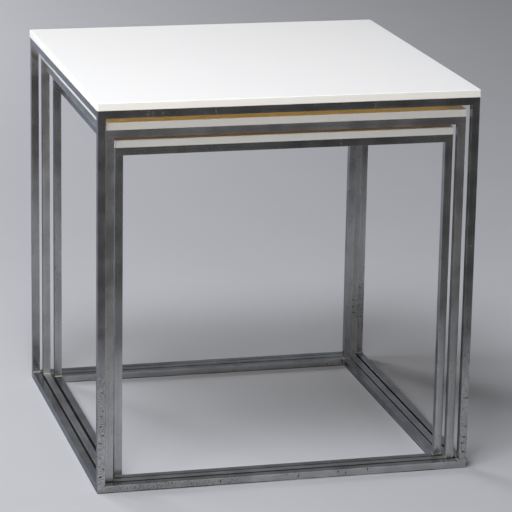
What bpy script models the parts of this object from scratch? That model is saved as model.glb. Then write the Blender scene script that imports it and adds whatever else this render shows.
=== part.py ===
"""Set of three nesting side tables: cube frames of square steel bar with opal acrylic tops.

Metres, +Z up. The origin is the point on the floor under the middle of the largest table.
Each frame is a closed square of bar on the floor, four legs, and a closed square of bar that
carries the top. A larger table stands over the next smaller one, and comes off straight up.
"""
import bmesh
import bpy

COLLECTION = "nesting_tables"

# Square steel bar, the same in all three frames
BAR = 0.0058
SEAM = 0.0003

# Opal acrylic tops
TOP_THICKNESS = 0.0052
TOP_OVERHANG = 0.00075
TOP_CORNER_RADIUS = 0.0016
TOP_CORNER_SEGMENTS = 4
TOP_RIM_RADIUS = 0.0005
TOP_RIM_SEGMENTS = 2
RIM_MIN_ANGLE = 1.2

# Each frame: outside width and depth, height of the steel, and where its centre stands
TABLES = {
    "small": {"width": 0.2546, "height": 0.2570, "centre": (0.0005, 0.0003)},
    "middle": {"width": 0.2698, "height": 0.2718, "centre": (0.0, 0.0006)},
    "large": {"width": 0.2850, "height": 0.2878, "centre": (0.0, 0.0)},
}

STEEL_COLOUR = (0.30, 0.30, 0.31, 1.0)
ACRYLIC_COLOUR = (0.92, 0.92, 0.91, 1.0)


def clear_scene():
    for obj in list(bpy.data.objects):
        bpy.data.objects.remove(obj, do_unlink=True)


def new_collection(name):
    collection = bpy.data.collections.new(name)
    bpy.context.scene.collection.children.link(collection)
    return collection


def material(name, colour, roughness, metallic):
    mat = bpy.data.materials.new(name)
    mat.use_nodes = True
    shader = mat.node_tree.nodes["Principled BSDF"]
    shader.inputs["Base Color"].default_value = colour
    shader.inputs["Roughness"].default_value = roughness
    shader.inputs["Metallic"].default_value = metallic
    return mat


def steel_material(name):
    return material(name, STEEL_COLOUR, roughness=0.35, metallic=1.0)


def acrylic_material(name):
    return material(name, ACRYLIC_COLOUR, roughness=0.15, metallic=0.0)


def table_empty(name, centre, collection):
    """The point on the floor under a table's middle, which its lift axis passes through."""
    empty = bpy.data.objects.new(name + "_table", None)
    empty.location = (centre[0], centre[1], 0.0)
    collection.objects.link(empty)
    return empty


def box_mesh(name, size):
    """A closed box of the given size, centred on its own origin."""
    mesh = bpy.data.meshes.new(name)
    bm = bmesh.new()
    bmesh.ops.create_cube(bm, size=1.0)
    bmesh.ops.scale(bm, vec=size, verts=bm.verts)
    bm.to_mesh(mesh)
    bm.free()
    return mesh


def place(name, mesh, centre, mat, parent, collection):
    obj = bpy.data.objects.new(name, mesh)
    obj.location = centre
    obj.parent = parent
    mesh.materials.append(mat)
    collection.objects.link(obj)
    return obj


def bar(name, size, centre, parent, collection):
    """One length of square steel bar."""
    return place(name, box_mesh(name, size), centre, steel_material(name), parent, collection)


def square_of_rails(prefix, width, z, parent, collection):
    """Four rails that close a square: front and back run full width, the sides fit between."""
    reach = (width - BAR) / 2
    side_length = width - 2 * BAR - 2 * SEAM
    for side, sign in (("front", -1), ("back", 1)):
        bar(f"{prefix}_{side}", (width, BAR, BAR), (0.0, sign * reach, z), parent, collection)
    for side, sign in (("left", -1), ("right", 1)):
        bar(f"{prefix}_{side}", (BAR, side_length, BAR), (sign * reach, 0.0, z), parent, collection)


def legs(prefix, width, height, parent, collection):
    """Four legs, from the top of the floor square to the underside of the top square."""
    reach = (width - BAR) / 2
    length = height - 2 * BAR - 2 * SEAM
    for depth_name, y_sign in (("front", -1), ("back", 1)):
        for side_name, x_sign in (("left", -1), ("right", 1)):
            centre = (x_sign * reach, y_sign * reach, height / 2)
            bar(f"{prefix}_{depth_name}_{side_name}", (BAR, BAR, length), centre, parent, collection)


def round_upright_corners(mesh, radius, segments):
    """Rounds the four upright corner edges of a box mesh."""
    bm = bmesh.new()
    bm.from_mesh(mesh)
    upright = [e for e in bm.edges if abs(e.verts[0].co.z - e.verts[1].co.z) > 1e-5]
    bmesh.ops.bevel(bm, geom=upright, offset=radius, segments=segments, profile=0.5, affect="EDGES")
    bm.to_mesh(mesh)
    bm.free()


def top_sheet(name, frame_width, frame_height, parent, collection):
    """The acrylic sheet that lies on the top square, a little larger than the frame."""
    side = frame_width + 2 * TOP_OVERHANG
    mesh = box_mesh(name, (side, side, TOP_THICKNESS))
    round_upright_corners(mesh, TOP_CORNER_RADIUS, TOP_CORNER_SEGMENTS)
    centre = (0.0, 0.0, frame_height + SEAM + TOP_THICKNESS / 2)
    sheet = place(name, mesh, centre, acrylic_material(name), parent, collection)
    rim = sheet.modifiers.new("rim", "BEVEL")
    rim.width = TOP_RIM_RADIUS
    rim.segments = TOP_RIM_SEGMENTS
    rim.limit_method = "ANGLE"
    rim.angle_limit = RIM_MIN_ANGLE
    return sheet


def build_table(name, width, height, centre, collection):
    parent = table_empty(name, centre, collection)
    square_of_rails(f"{name}_floor_rail", width, BAR / 2, parent, collection)
    legs(f"{name}_leg", width, height, parent, collection)
    square_of_rails(f"{name}_top_rail", width, height - BAR / 2, parent, collection)
    top_sheet(f"{name}_top", width, height, parent, collection)


def main():
    clear_scene()
    collection = new_collection(COLLECTION)
    for name, table in TABLES.items():
        build_table(name, table["width"], table["height"], table["centre"], collection)


main()
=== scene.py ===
"""Looks of three nesting tables: cube frames of aged square steel bar with opal acrylic tops.

Metres, +Z up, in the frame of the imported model. Every bar and sheet is built here as a fine mesh in the
place of its CAD node, and rides on its own table. Braze beads fill the inside of the frames' corners.
"""
import math
import random

import bmesh
import bpy
from mathutils import Euler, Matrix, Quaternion, Vector


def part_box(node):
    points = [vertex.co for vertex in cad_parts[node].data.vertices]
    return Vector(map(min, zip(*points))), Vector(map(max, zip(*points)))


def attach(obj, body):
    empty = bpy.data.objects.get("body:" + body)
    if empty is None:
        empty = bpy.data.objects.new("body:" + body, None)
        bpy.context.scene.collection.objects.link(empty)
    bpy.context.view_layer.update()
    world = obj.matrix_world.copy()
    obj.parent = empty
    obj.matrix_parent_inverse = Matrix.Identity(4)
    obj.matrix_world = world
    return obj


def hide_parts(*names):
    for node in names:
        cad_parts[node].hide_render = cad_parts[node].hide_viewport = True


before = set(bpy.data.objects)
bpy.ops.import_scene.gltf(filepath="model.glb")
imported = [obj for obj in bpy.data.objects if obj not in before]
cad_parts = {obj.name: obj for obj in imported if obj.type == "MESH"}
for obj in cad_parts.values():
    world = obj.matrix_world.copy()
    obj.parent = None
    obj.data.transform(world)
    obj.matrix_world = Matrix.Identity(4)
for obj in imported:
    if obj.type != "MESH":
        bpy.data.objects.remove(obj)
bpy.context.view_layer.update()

MM = 0.001
TABLES = ("large", "middle", "small")

# ---------------------------------------------------------------------------------------------
# Camera
# ---------------------------------------------------------------------------------------------

CAMERA_PLACE = Vector((-0.5025, -1.9881, 0.7007))
CAMERA_TURN = math.radians(14.5)
CAMERA_DIP = math.radians(15.4)
CAMERA_ROLL = math.radians(1.0)
CAMERA_LENS_MM = 190.8


def make_camera():
    """Looks along +Y, turned to the right by CAMERA_TURN and down by CAMERA_DIP."""
    camera = bpy.data.objects.new("camera", bpy.data.cameras.new("camera"))
    bpy.context.scene.collection.objects.link(camera)
    camera.data.lens = CAMERA_LENS_MM
    camera.data.clip_end = 100.0
    camera.rotation_mode = "QUATERNION"
    turn = Euler((math.pi / 2 - CAMERA_DIP, 0, -CAMERA_TURN)).to_quaternion()
    camera.rotation_quaternion = turn @ Quaternion((0, 0, 1), CAMERA_ROLL)
    camera.location = CAMERA_PLACE
    bpy.context.scene.camera = camera


# ---------------------------------------------------------------------------------------------
# Materials
# ---------------------------------------------------------------------------------------------


class Nodes:
    """A material's node tree. A call that makes a pattern or a mix returns the socket that carries it."""

    def __init__(self, name):
        self.material = bpy.data.materials.new(name)
        self.material.use_nodes = True
        self.tree = self.material.node_tree
        self.shader = self.tree.nodes["Principled BSDF"]
        self.coords = self.tree.nodes.new("ShaderNodeTexCoord").outputs["Object"]

    def add(self, kind, **settings):
        made = self.tree.nodes.new("ShaderNode" + kind)
        for key, value in settings.items():
            setattr(made, key, value)
        return made

    def feed(self, socket, value):
        if isinstance(value, bpy.types.NodeSocket):
            self.tree.links.new(value, socket)
        else:
            socket.default_value = value

    def noise(self, scale, stretch=(1, 1, 1), detail=2.0, offset=0.0):
        """Noise of about scale cells a metre, times stretch along each axis."""
        mapping = self.add("Mapping")
        self.feed(mapping.inputs["Vector"], self.coords)
        self.feed(mapping.inputs["Scale"], [scale * s for s in stretch])
        self.feed(mapping.inputs["Location"], (offset, 2 * offset, 3 * offset))
        texture = self.add("TexNoise")
        self.feed(texture.inputs["Vector"], mapping.outputs["Vector"])
        self.feed(texture.inputs["Scale"], 1.0)
        self.feed(texture.inputs["Detail"], detail)
        return texture.outputs["Fac"]

    def attribute(self, name):
        return self.add("Attribute", attribute_name=name).outputs["Fac"]

    def height(self):
        """Height above the floor, at rest."""
        split = self.add("SeparateXYZ")
        self.feed(split.inputs["Vector"], self.coords)
        return split.outputs["Z"]

    def ramp(self, value, low, high, to_low=0.0, to_high=1.0):
        """A smooth step from to_low to to_high as the value goes from low to high."""
        made = self.add("MapRange", interpolation_type="SMOOTHSTEP")
        self.feed(made.inputs["Value"], value)
        ends = {"From Min": low, "From Max": high, "To Min": to_low, "To Max": to_high}
        for key, number in ends.items():
            self.feed(made.inputs[key], number)
        return made.outputs["Result"]

    def maths(self, operation, a, b=0.0):
        """The operation on a and b, kept between 0 and 1."""
        made = self.add("Math", operation=operation, use_clamp=True)
        self.feed(made.inputs[0], a)
        self.feed(made.inputs[1], b)
        return made.outputs["Value"]

    def blend(self, share, a, b):
        """Colour a, turning to colour b as share goes from 0 to 1."""
        made = self.add("Mix", data_type="RGBA")
        self.feed(made.inputs[0], share)
        self.feed(made.inputs[6], a)
        self.feed(made.inputs[7], b)
        return made.outputs[2]

    def bump(self, height, distance, normal=None):
        made = self.add("Bump")
        self.feed(made.inputs["Height"], height)
        self.feed(made.inputs["Distance"], distance)
        if normal is not None:
            self.feed(made.inputs["Normal"], normal)
        return made.outputs["Normal"]

    def set(self, **values):
        for key, value in values.items():
            self.feed(self.shader.inputs[key.replace("_", " ")], value)


# The scales of the steel's noises, in cells a metre. Grain and streaks are drawn out along the bar.
GRAIN_SCALE = 2400
STREAK_SCALE = 500
BLOTCH_SCALE = 60
CLOUD_SCALE = 22
SPECK_SCALE = 1500
SPECK_AREA_SCALE = 38
ALONG_THE_GRAIN = 0.015
GRAIN_DEPTH = 0.006 * MM
SPECK_DEPTH = 0.01 * MM

STEEL_LIGHT = (0.50, 0.50, 0.50, 1)
STEEL_DARK = (0.405, 0.405, 0.405, 1)
STEEL_WORN = (0.56, 0.56, 0.56, 1)
# What the tarnished steel still reflects when it is seen almost along its surface.
STEEL_GRAZING = (0.38, 0.41, 0.47, 1)
HEAT_TINT = (0.42, 0.38, 0.30, 1)
RUST = (0.020, 0.015, 0.013, 1)
FOOT_DARK_AND_GAP_SHADE_COLOUR = (0.06, 0.055, 0.05, 1)
BRAZE = (0.45, 0.42, 0.33, 1)
BRAZE_DARK = (0.26, 0.24, 0.18, 1)
# How rough each table's steel has become, and how much rougher its blotches, grain, rust flecks, darker
# foot and painted gap shade are.
STEEL_ROUGHNESS = {"large": 0.16, "middle": 0.27, "small": 0.18}
ROUGHER_BLOTCH = 0.06
ROUGHER_GRAIN = 0.05
ROUGHER_RUST_FOOT_AND_GAP = 0.4
# The steel is darker on the bars' lowest stretch, and painted shade lies in the gaps between one table's
# floor rails and the next.
FOOT_DARK_HEIGHT = (0.4 * MM, 1.2 * MM)


def steel(table, axis):
    """Aged brushed bar, with its grain along the axis."""
    n = Nodes(f"{table}_steel_{'xyz'[axis]}")
    along = [1.0, 1.0, 1.0]
    along[axis] = ALONG_THE_GRAIN
    grain = n.noise(GRAIN_SCALE, along, detail=3.0)
    streak = n.noise(STREAK_SCALE, along, offset=3.1)
    blotch = n.noise(BLOTCH_SCALE, detail=3.0, offset=7.7)
    cloud = n.noise(CLOUD_SCALE, offset=1.9)
    specks = n.noise(SPECK_SCALE, detail=1.0, offset=5.3)
    area = n.noise(SPECK_AREA_SCALE, offset=9.4)

    tone = n.maths("ADD", n.maths("MULTIPLY", blotch, 0.5), n.maths("MULTIPLY", streak, 0.5))
    colour = n.blend(n.ramp(tone, 0.36, 0.64), STEEL_DARK, STEEL_LIGHT)
    heat = n.maths("MULTIPLY", n.attribute("heat"), n.ramp(cloud, 0.35, 0.65))
    colour = n.blend(heat, colour, HEAT_TINT)
    wear = n.maths("MULTIPLY", n.attribute("wear"), n.ramp(blotch, 0.38, 0.58, 0.0, 0.7))
    colour = n.blend(wear, colour, STEEL_WORN)
    # Darker towards the bottom of each bar, and painted shade on the floor rails' sides that face the
    # next table across a gap.
    foot = n.ramp(n.height(), *FOOT_DARK_HEIGHT, 1.0, 0.0)
    foot_dark_and_gap_shade = n.maths("MULTIPLY", foot, n.ramp(cloud, 0.3, 0.6, 0.3, 0.9))
    foot_dark_and_gap_shade = n.maths("MAXIMUM", foot_dark_and_gap_shade, n.attribute("gap_shade"))
    colour = n.blend(foot_dark_and_gap_shade, colour, FOOT_DARK_AND_GAP_SHADE_COLOUR)

    speckled = n.maths("MAXIMUM", n.ramp(area, 0.58, 0.7, 0.0, 0.6), n.attribute("speck"))
    fleck = n.ramp(n.maths("ADD", specks, n.maths("MULTIPLY", speckled, 0.09)), 0.67, 0.71)
    rust = n.maths("MAXIMUM", fleck, n.ramp(n.attribute("pit"), 0.05, 0.35))
    colour = n.blend(rust, colour, RUST)

    low = STEEL_ROUGHNESS[table]
    rough = n.ramp(blotch, 0.3, 0.7, low, low + ROUGHER_BLOTCH)
    rough = n.maths("ADD", rough, n.maths("MULTIPLY", grain, ROUGHER_GRAIN))
    rust_foot_and_gap_shade = n.maths("MAXIMUM", rust, foot_dark_and_gap_shade)
    rough = n.maths("ADD", rough, n.maths("MULTIPLY", rust_foot_and_gap_shade, ROUGHER_RUST_FOOT_AND_GAP))
    relief = n.bump(grain, GRAIN_DEPTH)
    relief = n.bump(n.maths("SUBTRACT", 1.0, fleck), SPECK_DEPTH, normal=relief)
    n.set(Base_Color=colour, Roughness=rough, Metallic=n.ramp(rust, 0.0, 1.0, 1.0, 0.5), Normal=relief)
    n.set(Specular_Tint=STEEL_GRAZING)
    return n.material


BRAZE_LUMP_SCALE = 900
BRAZE_LUMP_DEPTH = 0.08 * MM


def braze():
    """Lumpy yellowish metal of the beads in the corners."""
    n = Nodes("braze_metal")
    lumps = n.noise(BRAZE_LUMP_SCALE, detail=3.0)
    n.set(Base_Color=n.blend(n.ramp(lumps, 0.35, 0.6), BRAZE_DARK, BRAZE), Metallic=0.8)
    n.set(Roughness=n.ramp(lumps, 0.3, 0.7, 0.5, 0.65), Normal=n.bump(lumps, BRAZE_LUMP_DEPTH))
    return n.material


ACRYLIC_WHITE = (0.69, 0.77, 0.86, 1)
ACRYLIC_SOILED = (0.675, 0.755, 0.84, 1)
ACRYLIC_RIM = (0.79, 0.82, 0.82, 1)
ACRYLIC_THROUGH = (1.0, 0.73, 0.27, 1)
# The share of light that passes through the sheet's faces, and through its sawn and sanded rim.
ACRYLIC_SHARE_THROUGH = (0.36, 0.11)
HAZE_SCALE = 9
# Fine scratches both ways: their cells a metre across, and how far they are drawn out.
SCRATCH_SCALES = (700, 620)
ALONG_THE_SCRATCH = (0.012, 0.015)
SCRATCH_DEPTH = 0.003 * MM


def acrylic():
    """Polished opal sheet: white from above, and warm where light comes through it."""
    n = Nodes("opal_acrylic_sheet")
    haze = n.noise(HAZE_SCALE, detail=3.0)
    lengthways = n.noise(SCRATCH_SCALES[0], (1.0, ALONG_THE_SCRATCH[0], 1.0), offset=2.2)
    crossways = n.noise(SCRATCH_SCALES[1], (ALONG_THE_SCRATCH[1], 1.0, 1.0), offset=6.1)
    marks = n.maths("MAXIMUM", n.ramp(lengthways, 0.74, 0.80), n.ramp(crossways, 0.75, 0.81))
    rim = n.attribute("rim")
    face = n.blend(n.ramp(haze, 0.4, 0.7), ACRYLIC_WHITE, ACRYLIC_SOILED)
    n.set(Base_Color=n.blend(rim, face, ACRYLIC_RIM), IOR=1.49)
    n.set(Roughness=n.maths("ADD", n.ramp(haze, 0.3, 0.7, 0.12, 0.2), n.maths("MULTIPLY", marks, 0.15)))
    n.set(Normal=n.bump(n.maths("SUBTRACT", 1.0, marks), SCRATCH_DEPTH))
    through = n.add("BsdfTranslucent")
    n.feed(through.inputs["Color"], ACRYLIC_THROUGH)
    mix = n.add("MixShader")
    n.feed(mix.inputs[0], n.ramp(rim, 0.0, 1.0, *ACRYLIC_SHARE_THROUGH))
    n.feed(mix.inputs[1], n.shader.outputs["BSDF"])
    n.feed(mix.inputs[2], through.outputs["BSDF"])
    n.feed(n.tree.nodes["Material Output"].inputs["Surface"], mix.outputs["Shader"])
    return n.material


FLOOR_MOTTLE_SCALE = 14
FLOOR_TONES = ((0.260, 0.265, 0.281, 1), (0.270, 0.275, 0.291, 1))
# How far from the centre the paper's own tone begins to fade, and where it has gone.
FLOOR_FADE_CENTRE = (0.0, 0.8, 0.0)
FLOOR_FADE = (1.5, 2.3)
BACKDROP_COLOUR = (0.97, 0.985, 1.03, 1)
BACKDROP_TONE = 0.30


def floor_paper():
    """Matt grey paper that turns, far from the tables, to the even tone of the backdrop."""
    n = Nodes("floor_paper")
    away = n.add("VectorMath", operation="DISTANCE")
    n.feed(away.inputs[0], n.coords)
    n.feed(away.inputs[1], FLOOR_FADE_CENTRE)
    far = n.ramp(away.outputs["Value"], *FLOOR_FADE)
    paper = n.blend(n.noise(FLOOR_MOTTLE_SCALE, detail=4.0), *FLOOR_TONES)
    n.set(Base_Color=n.blend(far, paper, (0, 0, 0, 1)), Roughness=0.8, Specular_IOR_Level=0.0)
    n.set(Emission_Color=BACKDROP_COLOUR, Emission_Strength=n.maths("MULTIPLY", far, BACKDROP_TONE))
    return n.material


FLAG_CLOTH_SCALE = 60
FLAG_CLOTH_TONES = ((0.02, 0.02, 0.022, 1), (0.03, 0.03, 0.032, 1))


def flag_cloth():
    """Black cloth."""
    n = Nodes("flag_cloth")
    n.set(Base_Color=n.blend(n.noise(FLAG_CLOTH_SCALE), *FLAG_CLOTH_TONES), Roughness=0.9)
    return n.material


# ---------------------------------------------------------------------------------------------
# Bars
# ---------------------------------------------------------------------------------------------

# The bars' edges are rounded, and almost sharp where another bar stands against them.
EDGE_RADIUS = 0.08 * MM
EDGE_AT_JOINT = 0.02 * MM
EDGE_FADE = 1.4 * MM
EDGE_UNEVEN = 0.1
EDGE_UNEVEN_LENGTH = 9 * MM
ARC_STEPS = 3
# Points across a face: one close inside each edge, which keeps the face flat, and some between.
FACE_SUPPORT = 0.05 * MM
FACE_INNER = 2
RING_SPACING = 7.0 * MM
RING_MIN_STEP = 0.05 * MM
SPECKLE_FADE = 12 * MM
# A bar wanders inward by up to twice this height, and stays true at its ends.
WAVE_HEIGHT = 0.01 * MM
WAVE_LENGTHS = (45 * MM, 90 * MM)
WAVE_FADE = 20 * MM
HEAT_REACH = 30 * MM
# The gap that the CAD leaves where two pieces touch.
SEAM = 0.3 * MM
# Where rings and points stand round a pit or a nick, in shares of its radius or reach.
PIT_RINGS = (-1.6, -1.0, -0.45, 0.45, 1.0, 1.6)
PIT_POINTS = (-1.0, -0.45, 0.45, 1.0)
NICK_RINGS = (-1.0, -0.5, 0.0, 0.5, 1.0)
# The bowl of a pit ends a little past its radius.
PIT_REACH = 1.25
NICKS_PER_BAR = (2, 5)
NICK_ENDS_CLEAR = 0.06
NICK_REACH = (0.6 * MM, 2.2 * MM)
NICK_DEPTH = (0.1 * MM, 0.45 * MM)
NORMALS = ((1, 0), (0, 1), (-1, 0), (0, -1))


def join_rings(bm, rows):
    """Skins the rings with faces from one to the next, and closes the two ends. Returns the end faces."""
    for row, after in zip(rows, rows[1:]):
        for i in range(len(row)):
            j = (i + 1) % len(row)
            bm.faces.new((row[i], row[j], after[j], after[i]))
    return [bm.faces.new(rows[0]), bm.faces.new(rows[-1])]


def finished_mesh(bm, name):
    """A mesh of the bmesh, smooth but for the edges already marked as crisp."""
    for face in bm.faces:
        face.smooth = True
    made = bpy.data.meshes.new(name)
    bm.to_mesh(made)
    bm.free()
    return made


class Bar:
    """A square bar made of rings along its axis. p and q are the two axes across it.

    Face k looks along NORMALS[k], and edge k lies between faces k and k + 1. outer gives the signs of the
    two outward sides in p and q: the edge between them stays round to the bar's ends. through is True for
    a bar that runs to the corner of the cube, with the others against it, and whose ends show. speckled
    holds the first and last place of a finely speckled stretch. in_gap says that the bar's outward side
    along p faces the next table's bar across a narrow gap; that side and its edges carry painted shade.
    """

    def __init__(self, low, high, axis, outer, through, rng, pits, speckled, in_gap):
        self.low, self.high, self.axis, self.outer, self.through = low, high, axis, outer, through
        self.p_axis, self.q_axis = [a for a in range(3) if a != axis]
        self.length = high[axis] - low[axis]
        self.half = (high[self.p_axis] - low[self.p_axis]) / 2
        self.zone = 2 * self.half if through else 0.0
        self.phases = [rng.uniform(0, 2 * math.pi) for _ in range(6)]
        self.waves = [rng.uniform(*WAVE_LENGTHS) for _ in range(2)]
        self.pits = pits
        self.speckled = speckled
        self.in_gap = in_gap
        self.nicks = [self.random_nick(rng) for _ in range(rng.randint(*NICKS_PER_BAR))]

    def random_nick(self, rng):
        """A small bruise that flattens one edge."""
        at = rng.uniform(NICK_ENDS_CLEAR, 1 - NICK_ENDS_CLEAR) * self.length
        return {"at": at, "edge": rng.randrange(4), "reach": rng.uniform(*NICK_REACH),
                "depth": rng.uniform(*NICK_DEPTH)}

    def ring_places(self):
        """Places of the rings between the bar's ends, closer together at joints, pits and nicks."""
        count = round(self.length / RING_SPACING)
        places = {self.length * i / count for i in range(count + 1)}
        for step in (self.zone, self.zone + EDGE_FADE / 2, self.zone + EDGE_FADE):
            places.update((step, self.length - step))
        for pit in self.pits:
            places.update(pit["at"] + share * pit["radius"] for share in PIT_RINGS)
        for nick in self.nicks:
            places.update(nick["at"] + share * nick["reach"] for share in NICK_RINGS)
        rim = EDGE_RADIUS + RING_MIN_STEP if self.through else 0.0
        kept = [rim]
        for s in sorted(places):
            if rim < s < self.length - rim and s - kept[-1] > RING_MIN_STEP:
                kept.append(s)
        return kept + [self.length - rim]

    def edge_radius(self, k, s):
        """The rounding of edge k at s, larger at a nick and smaller at a joint."""
        radius = EDGE_RADIUS * (1 + EDGE_UNEVEN * math.sin(s / EDGE_UNEVEN_LENGTH + self.phases[k]))
        for nick in self.nicks:
            if nick["edge"] == k:
                radius += nick["depth"] * max(0.0, 1 - ((s - nick["at"]) / nick["reach"]) ** 2)
        signs = [NORMALS[k][i] + NORMALS[(k + 1) % 4][i] for i in (0, 1)]
        if signs == list(self.outer):
            return radius
        share = (min(s, self.length - s) - self.zone) / EDGE_FADE
        return EDGE_AT_JOINT + (radius - EDGE_AT_JOINT) * min(1.0, max(0.0, share))

    def face_points(self, k, s, low, high):
        """Places across face k, from low to high, drawn together round a pit."""
        first, last = low + FACE_SUPPORT, high - FACE_SUPPORT
        inner = [first + (last - first) * i / (FACE_INNER + 1) for i in range(FACE_INNER + 2)]
        for pit in self.pits:
            near = 1 - max(0.0, abs(s - pit["at"]) / pit["radius"] - 1) / 2
            if pit["face"] == k and near > 0:
                drawn = [pit["across"] + share * pit["radius"] for share in PIT_POINTS]
                inner = [a + (b - a) * near for a, b in zip(inner, drawn)]
        return [low, *inner, high]

    def pit_share(self, k, s, t):
        """How deep in a pit the point lies, from 0 to 1, and the depth there."""
        share, depth = 0.0, 0.0
        for pit in self.pits:
            if pit["face"] == k:
                away = math.hypot(s - pit["at"], t - pit["across"]) / (PIT_REACH * pit["radius"])
                bowl = max(0.0, 1 - away * away)
                share = max(share, bowl)
                depth = max(depth, bowl * pit["depth"])
        return share, depth

    def ring(self, s):
        """Points round the bar at s, as (p, q, wear, pit, gap_shade), where gap_shade marks painted
        shade.
        """
        points = []
        gap_side = (self.outer[0], 0)
        for k in range(4):
            n, t = NORMALS[k], NORMALS[(k + 1) % 4]
            before, after = self.edge_radius((k - 1) % 4, s), self.edge_radius(k, s)
            for u in self.face_points(k, s, before - self.half, self.half - after):
                share, depth = self.pit_share(k, s, u)
                lift = self.half - depth
                worn = 1.0 if self.half - abs(u) < 2 * EDGE_RADIUS else 0.0
                # Painted shade: the side that faces the next table across the gap, and the edges beside
                # it, are marked dark and kept from looking worn.
                gap_shade = 1.0 if self.in_gap and n == gap_side else 0.0
                p, q = n[0] * lift + t[0] * u, n[1] * lift + t[1] * u
                points.append((p, q, worn * (1 - gap_shade), share, gap_shade))
            middle = self.half - after
            gap_shade = 1.0 if self.in_gap and gap_side in (n, t) else 0.0
            for i in range(1, ARC_STEPS):
                angle = math.pi / 2 * i / ARC_STEPS
                along_n, along_t = middle + after * math.cos(angle), middle + after * math.sin(angle)
                p, q = n[0] * along_n + t[0] * along_t, n[1] * along_n + t[1] * along_t
                points.append((p, q, 1.0 - gap_shade, 0.0, gap_shade))
        return points

    def place(self, s, p, q):
        """The point in the frame, with the slight wander of a bar that was drawn and ground by hand."""
        fade = max(0.0, min(1.0, s / WAVE_FADE, (self.length - s) / WAVE_FADE))
        sway = []
        for i in (0, 1):
            turn = 2 * math.pi * s / self.waves[i] + self.phases[4 + i]
            sway.append(-self.outer[i] * WAVE_HEIGHT * fade * (1 + math.sin(turn)))
        spot = [0.0, 0.0, 0.0]
        spot[self.axis] = self.low[self.axis] + s
        spot[self.p_axis] = (self.low[self.p_axis] + self.high[self.p_axis]) / 2 + p + sway[0]
        spot[self.q_axis] = (self.low[self.q_axis] + self.high[self.q_axis]) / 2 + q + sway[1]
        return spot

    def rim_rings(self):
        """(place, inset) of the rings that round the rim of each showing end."""
        if not self.through:
            return [], []
        turns = [math.pi / 2 * i / ARC_STEPS for i in range(ARC_STEPS + 1)]
        first = [(EDGE_RADIUS * (1 - math.cos(a)), EDGE_RADIUS * (1 - math.sin(a))) for a in turns]
        last = [(self.length - s, inset) for s, inset in reversed(first)]
        return first, last

    def inset(self, p, q, amount):
        """The point drawn in from the two outward sides, and not from the two that other bars cover."""
        pulled = []
        for value, sign in ((p, self.outer[0]), (q, self.outer[1])):
            pulled.append(value - sign * amount * (sign * value + self.half) / (2 * self.half))
        return pulled

    def speckle(self, s):
        """1 on the speckled stretch, fading to 0 beyond its ends."""
        if not self.speckled:
            return 0.0
        first, last = self.speckled
        return min(1.0, max(0.0, min(s - first, last - s) / SPECKLE_FADE + 1))

    def mesh(self, name):
        """The bar's mesh, with what the steel needs to know of each point in its vertex layers."""
        bm = bmesh.new()
        layers = {key: bm.verts.layers.float.new(key) for key in ("wear", "pit", "heat", "speck", "gap_shade")}
        first, last = self.rim_rings()
        rows = []
        for s, amount in first + [(s, 0.0) for s in self.ring_places()] + last:
            near_end = min(s, self.length - s)
            row = []
            for p, q, wear, pit, gap_shade in self.ring(s):
                vert = bm.verts.new(self.place(s, *self.inset(p, q, amount)))
                vert[layers["wear"]] = wear
                vert[layers["pit"]] = pit
                vert[layers["gap_shade"]] = gap_shade
                vert[layers["speck"]] = self.speckle(s)
                vert[layers["heat"]] = max(0.0, 1 - max(0.0, near_end - self.zone) / HEAT_REACH)
                row.append(vert)
            rows.append(row)
        caps = join_rings(bm, rows)
        crisp = [] if self.through else [edge for cap in caps for edge in cap.edges]
        side = len(rows[0]) // 4
        last_face_point = FACE_INNER + 3
        for row, after in zip(rows, rows[1:]):
            for k in range(4):
                for i in (k * side, k * side + last_face_point):
                    crisp.append(bm.edges.get((row[i], after[i])))
        for edge in crisp:
            edge.smooth = False
        bmesh.ops.recalc_face_normals(bm, faces=bm.faces)
        return finished_mesh(bm, name)


def add_piece(name, mesh, material, table, nodes=()):
    """A piece that rides on the table's body, in place of the CAD nodes named."""
    piece = bpy.data.objects.new(name, mesh)
    bpy.context.scene.collection.objects.link(piece)
    mesh.materials.append(material)
    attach(piece, table + "_table")
    if nodes:
        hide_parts(*nodes)
    return piece


def bar_nodes(table):
    """Each bar's node, its axis, the signs of its outward sides, and whether it runs to the corners."""
    for level, up in (("floor_rail", -1), ("top_rail", 1)):
        for side, out in (("front", -1), ("back", 1)):
            yield f"{table}_{level}_{side}", 0, (out, up), True
        for side, out in (("left", -1), ("right", 1)):
            yield f"{table}_{level}_{side}", 1, (out, up), False
    for depth, out_y in (("front", -1), ("back", 1)):
        for side, out_x in (("left", -1), ("right", 1)):
            yield f"{table}_leg_{depth}_{side}", 2, (out_x, out_y), False


PITS_PER_BAR = (1, 3)
PIT_RADIUS = (0.28 * MM, 0.62 * MM)
PIT_DEPTH = (0.04 * MM, 0.1 * MM)
PIT_EDGE_GAP = 1.0 * MM
PIT_ENDS_CLEAR = 0.05
PIT_SPACING = 4 * MM
# Pits seen in the photograph: the bar, the way its face looks across it, and the places along it in
# millimetres from the cube's left end or foot.
SEEN_PITS = (
    ("large_leg_front_left", (0, -1), (13, 19, 28, 39, 45, 52, 60, 78)),
    ("large_floor_rail_front", (-1, 0), (28, 32, 56, 71, 93, 184, 190, 207)),
    ("large_top_rail_front", (-1, 0), (36, 40, 47, 57, 205)),
    ("large_leg_front_right", (0, -1), (8, 13, 20, 25, 56, 175)),
    ("middle_leg_back_right", (0, -1), (44, 49, 55)),
)
# Bars with fine specks all over a stretch of their length, in the same millimetres.
SPECKLED = {
    "large_leg_front_left": (0, 95),
    "large_floor_rail_front": (0, 110),
    "large_floor_rail_left": (0, 60),
    "large_top_rail_front": (20, 75),
    "large_leg_front_right": (0, 120),
    "middle_leg_back_right": (38, 64),
    "large_leg_back_right": (38, 60),
}


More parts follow.
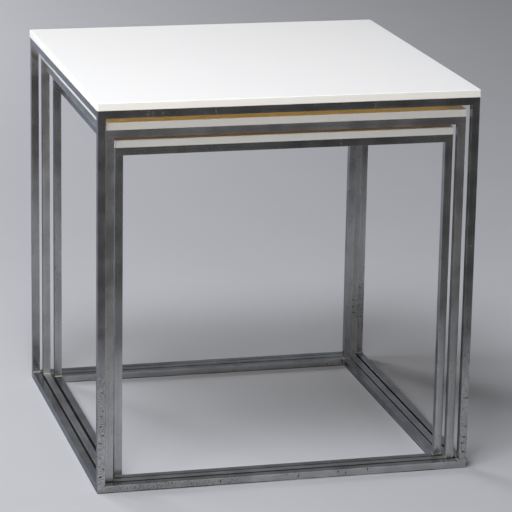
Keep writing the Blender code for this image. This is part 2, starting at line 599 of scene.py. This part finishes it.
def random_pit(rng, at, face, half):
    """A pit at a place along the bar, anywhere across the face but near its edges."""
    reach = half - PIT_EDGE_GAP
    return {"at": at, "face": face, "across": rng.uniform(-reach, reach),
            "radius": rng.uniform(*PIT_RADIUS), "depth": rng.uniform(*PIT_DEPTH)}


def pits_of(node, start, length, half, rng):
    """The seen pits of a bar that begins at start, and a few more at random."""
    pits = []
    for bar, way, places in SEEN_PITS:
        if bar == node:
            pits += [random_pit(rng, place * MM - start, NORMALS.index(way), half) for place in places]
    for _ in range(rng.randint(*PITS_PER_BAR)):
        at = rng.uniform(PIT_ENDS_CLEAR, 1 - PIT_ENDS_CLEAR) * length
        if all(abs(at - other["at"]) > PIT_SPACING for other in pits):
            pits.append(random_pit(rng, at, rng.randrange(4), half))
    return pits


def make_bars(table, materials, rng):
    """The table's twelve bars. Those that aren't through reach a seam further, to the bars they meet."""
    cube_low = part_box(f"{table}_floor_rail_front")[0]
    for node, axis, outer, through in bar_nodes(table):
        low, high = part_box(node)
        if not through:
            low[axis] -= SEAM
            high[axis] += SEAM
        across = [a for a in range(3) if a != axis][0]
        start = low[axis] - cube_low[axis]
        pits = pits_of(node, start, high[axis] - low[axis], (high[across] - low[across]) / 2, rng)
        speckled = [place * MM - start for place in SPECKLED.get(node, ())]
        # The inner tables' floor rails get painted shade on their sides in the gaps.
        in_gap = table != TABLES[0] and "floor_rail" in node
        bar = Bar(low, high, axis, outer, through, rng, pits, speckled, in_gap)
        add_piece(node + "_bar", bar.mesh(node), materials[axis], table, [node])


# ---------------------------------------------------------------------------------------------
# Braze fillets
# ---------------------------------------------------------------------------------------------

FILLET_SIZE = (0.35 * MM, 0.75 * MM)
FILLET_SINK = 0.08 * MM
FILLET_STEPS = 5
FILLET_RINGS = 7
FILLET_UNEVEN = 0.15
FILLET_WAVE = 4


def fillet(bm, corner, u, v, w, length, rng):
    """A concave bead in the angle between the u and v directions, running along w from the corner."""
    rows = []
    size = rng.uniform(*FILLET_SIZE)
    phase = rng.uniform(0, 6)
    for i in range(FILLET_RINGS):
        s = length * i / (FILLET_RINGS - 1)
        a = size * (1 - FILLET_UNEVEN + FILLET_UNEVEN * math.sin(phase + FILLET_WAVE * i / FILLET_RINGS))
        row = [corner + w * s - (u + v) * FILLET_SINK]
        for k in range(FILLET_STEPS + 1):
            angle = math.pi / 2 * k / FILLET_STEPS
            x, y = a * (1 - math.sin(angle)), a * (1 - math.cos(angle))
            row.append(corner + w * s + u * x + v * y)
        row[1] = row[1] - v * FILLET_SINK
        row[-1] = row[-1] - u * FILLET_SINK
        rows.append([bm.verts.new(p) for p in row])
    for cap in join_rings(bm, rows):
        for edge in cap.edges:
            edge.smooth = False


def make_braze(table, material, rng):
    """A bead in each of the three inside angles at each corner of the cube."""
    bm = bmesh.new()
    low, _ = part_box(f"{table}_floor_rail_front")
    high = Vector(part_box(f"{table}_top_rail_back")[1])
    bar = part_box(f"{table}_leg_front_left")[1][0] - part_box(f"{table}_leg_front_left")[0][0]
    for signs in ((x, y, z) for x in (-1, 1) for y in (-1, 1) for z in (-1, 1)):
        inner = Vector([(low[a] + bar) if signs[a] < 0 else (high[a] - bar) for a in range(3)])
        inward = [Vector([-signs[a] if a == b else 0 for b in range(3)]) for a in range(3)]
        for a in range(3):
            u, v = [inward[b] for b in range(3) if b != a]
            fillet(bm, inner - inward[a] * (bar - EDGE_RADIUS), u, v, inward[a], bar - EDGE_RADIUS, rng)
    bmesh.ops.recalc_face_normals(bm, faces=bm.faces)
    add_piece(f"{table}_braze_beads", finished_mesh(bm, f"{table}_braze"), material, table)


# ---------------------------------------------------------------------------------------------
# Tops
# ---------------------------------------------------------------------------------------------

# The sheet's outline has rounded corners. The rim is TOP_LIP_OUT inside it, above a lip that slopes out
# to it at the bottom, and TOP_RIM rounds the rim off to the upper face.
TOP_CORNER = 1.6 * MM
TOP_CORNER_MIN = 0.3 * MM
TOP_RIM = 0.25 * MM
TOP_RIM_STEPS = 3
TOP_CORNER_STEPS = 6
TOP_LIP_HEIGHT = 1.1 * MM
TOP_LIP_OUT = 0.25 * MM
TOP_LIP_BEVEL = 0.1 * MM
TOP_LIP_SHOULDER = 0.2 * MM
TOP_SUPPORTS = (0.9 * MM, 4 * MM, 20 * MM)


def top_loop(low, high, z, inset):
    """A rounded square at height z, drawn in from the sheet's outline by inset."""
    radius = max(TOP_CORNER - inset, TOP_CORNER_MIN)
    middle = (low + high) / 2
    points = []
    for k, (sx, sy) in enumerate(((1, 1), (-1, 1), (-1, -1), (1, -1))):
        x = middle.x + sx * ((high.x - low.x) / 2 - inset - radius)
        y = middle.y + sy * ((high.y - low.y) / 2 - inset - radius)
        for i in range(TOP_CORNER_STEPS + 1):
            angle = math.pi / 2 * (k + i / TOP_CORNER_STEPS)
            points.append((x + radius * math.cos(angle), y + radius * math.sin(angle), z))
    return points


def make_top(table, material):
    """The sheet, from loops that run from its under side, round its rim, to its upper side."""
    node = f"{table}_top"
    low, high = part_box(node)
    low.z -= SEAM
    thickness = high.z - low.z
    profile = [(inset, 0.0) for inset in reversed(TOP_SUPPORTS)]
    profile += [(TOP_LIP_BEVEL, 0.0), (0.0, TOP_LIP_BEVEL), (TOP_LIP_OUT, TOP_LIP_HEIGHT)]
    profile.append((TOP_LIP_OUT, TOP_LIP_HEIGHT + TOP_LIP_SHOULDER))
    profile.append((TOP_LIP_OUT, thickness - TOP_RIM - TOP_LIP_BEVEL))
    for i in range(TOP_RIM_STEPS + 1):
        angle = math.pi / 2 * i / TOP_RIM_STEPS
        inset = TOP_LIP_OUT + TOP_RIM * (1 - math.cos(angle))
        profile.append((inset, thickness - TOP_RIM * (1 - math.sin(angle))))
    profile += [(inset, thickness) for inset in TOP_SUPPORTS]
    bm = bmesh.new()
    rim = bm.verts.layers.float.new("rim")
    rows = []
    for inset, lift in profile:
        row = [bm.verts.new(p) for p in top_loop(low, high, low.z + lift, inset)]
        for vert in row:
            vert[rim] = 1.0 if inset < TOP_SUPPORTS[0] else 0.0
        rows.append(row)
    join_rings(bm, rows)
    bmesh.ops.recalc_face_normals(bm, faces=bm.faces)
    add_piece(node + "_sheet", finished_mesh(bm, node), material, table, [node])


# ---------------------------------------------------------------------------------------------
# Studio
# ---------------------------------------------------------------------------------------------


def flat_square(name, centre, size, material):
    """A level sheet of the stage."""
    bm = bmesh.new()
    bmesh.ops.create_grid(bm, x_segments=4, y_segments=4, size=0.5)
    bmesh.ops.scale(bm, vec=(size[0], size[1], 1), verts=bm.verts)
    made = bpy.data.objects.new(name, finished_mesh(bm, name))
    bpy.context.scene.collection.objects.link(made)
    made.location = centre
    made.data.materials.append(material)
    return made


def softbox(name, place, aim, size, power, colour=(1, 1, 1)):
    """A square softbox that looks from its place to its aim."""
    light = bpy.data.objects.new(name, bpy.data.lights.new(name, "AREA"))
    bpy.context.scene.collection.objects.link(light)
    light.data.shape = "SQUARE"
    light.data.size = size
    light.data.energy = power
    light.data.color = colour
    light.location = place
    light.rotation_euler = (Vector(aim) - Vector(place)).to_track_quat("-Z", "Y").to_euler()
    return light


# Name, azimuth, elevation, distance, aim, size, power and colour. Azimuth 0 is in front of the tables,
# and less than 0 is to their left.
MAIN_SOFTBOXES = (
    ("key_softbox", -35, 64, 1.6, (0, 0, 0.15), 0.6, 28, (0.98, 0.99, 1.03)),
    ("side_softbox", -90, 50, 1.2, (0, 0.1, 0.1), 0.6, 10, (1, 1, 1)),
    ("front_softbox", -20, 25, 1.6, (0, 0, 0.15), 0.6, 10, (1.05, 0.98, 0.88)),
)
# Name, place, aim, size and power. They light the floor behind and the right-hand side, and the steel
# doesn't mirror them.
FILL_SOFTBOXES = (
    ("right_softbox", (1.5, 0.1, 0.3), (0.1, 0, 0.26), 0.5, 6.5),
    ("back_softbox", (-1.2, 1.8, 0.8), (-0.2, 1.8, 0), 0.8, 47),
    ("far_softbox", (-1.4, 3.0, 1.6), (-0.4, 2.2, 0), 1.2, 56),
)
FLOOR_SIZE = (12, 12)
# The flag lies on the floor, from FLAG_EDGE towards the front.
FLAG_EDGE = -0.43
FLAG_SIZE = (6, 3)
FLAG_HEIGHT = 0.002
SKY_LIGHT = 0.015


def direction_to(azimuth, elevation):
    """The direction from the tables to a light."""
    a, e = math.radians(azimuth), math.radians(elevation)
    return Vector((math.sin(a) * math.cos(e), -math.cos(a) * math.cos(e), math.sin(e)))


def make_flag():
    """A dark sheet that shows only in reflections, so that the front of the steel looks dark."""
    centre = (0, FLAG_EDGE - FLAG_SIZE[1] / 2, FLAG_HEIGHT)
    flag = flat_square("front_flag", centre, FLAG_SIZE, flag_cloth())
    for ray in ("camera", "diffuse", "shadow", "transmission", "volume_scatter"):
        setattr(flag, "visible_" + ray, False)


def make_world():
    """An even backdrop, which gives almost no light of its own."""
    world = bpy.data.worlds.new("studio")
    bpy.context.scene.world = world
    world.use_nodes = True
    tree = world.node_tree
    background = tree.nodes["Background"]
    background.inputs["Color"].default_value = BACKDROP_COLOUR
    path = tree.nodes.new("ShaderNodeLightPath")
    strength = tree.nodes.new("ShaderNodeMapRange")
    strength.inputs["To Min"].default_value = BACKDROP_TONE
    strength.inputs["To Max"].default_value = SKY_LIGHT
    tree.links.new(path.outputs["Is Diffuse Ray"], strength.inputs["Value"])
    tree.links.new(strength.outputs["Result"], background.inputs["Strength"])


def make_studio():
    flat_square("floor", (0, 0, 0), FLOOR_SIZE, floor_paper())
    make_flag()
    for name, azimuth, elevation, distance, aim, size, power, colour in MAIN_SOFTBOXES:
        place = Vector(aim) + distance * direction_to(azimuth, elevation)
        softbox(name, place, aim, size, power, colour)
    for name, place, aim, size, power in FILL_SOFTBOXES:
        softbox(name, place, aim, size, power).visible_glossy = False
    make_world()
    bpy.context.scene.view_settings.view_transform = "Standard"


# ---------------------------------------------------------------------------------------------
# Scene
# ---------------------------------------------------------------------------------------------

SEED = 7


def main():
    make_camera()
    rng = random.Random(SEED)
    braze_metal, sheet = braze(), acrylic()
    for table in TABLES:
        make_bars(table, [steel(table, axis) for axis in range(3)], rng)
        make_braze(table, braze_metal, rng)
        make_top(table, sheet)
    make_studio()


main()
